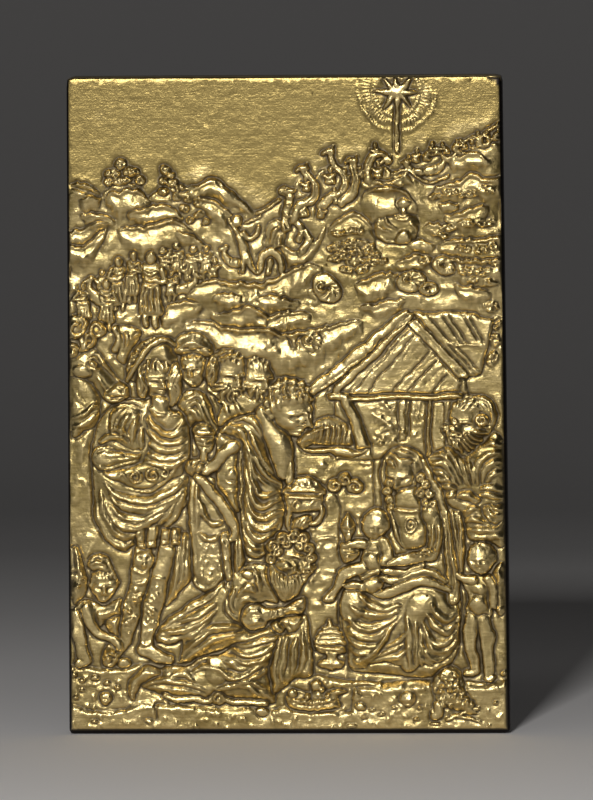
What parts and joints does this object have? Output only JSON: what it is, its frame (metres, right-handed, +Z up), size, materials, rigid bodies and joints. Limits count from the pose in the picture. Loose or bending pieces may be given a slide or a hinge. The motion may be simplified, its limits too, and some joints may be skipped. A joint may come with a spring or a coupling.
{
  "type": "liturgical pax",
  "caption": "Upright rectangular cast and gilt relief plaque of kings adoring a mother and child, with a plain back, standing on its flat lower edge.",
  "frame": {"origin": "middle of the flat underside, on which the plaque stands", "axes": "+Z up the plaque, the relief faces -Y, +X to the right of someone facing the relief"},
  "size_m": [0.0766, 0.0096, 0.1142],
  "materials": {
    "gilt_bronze": "fire-gilt and rubbed on the relief, dark brown in the hollows and round the edges"
  },
  "bodies": {
    "root": {"pax_plaque": "gilt_bronze"}
  },
  "joints": []
}
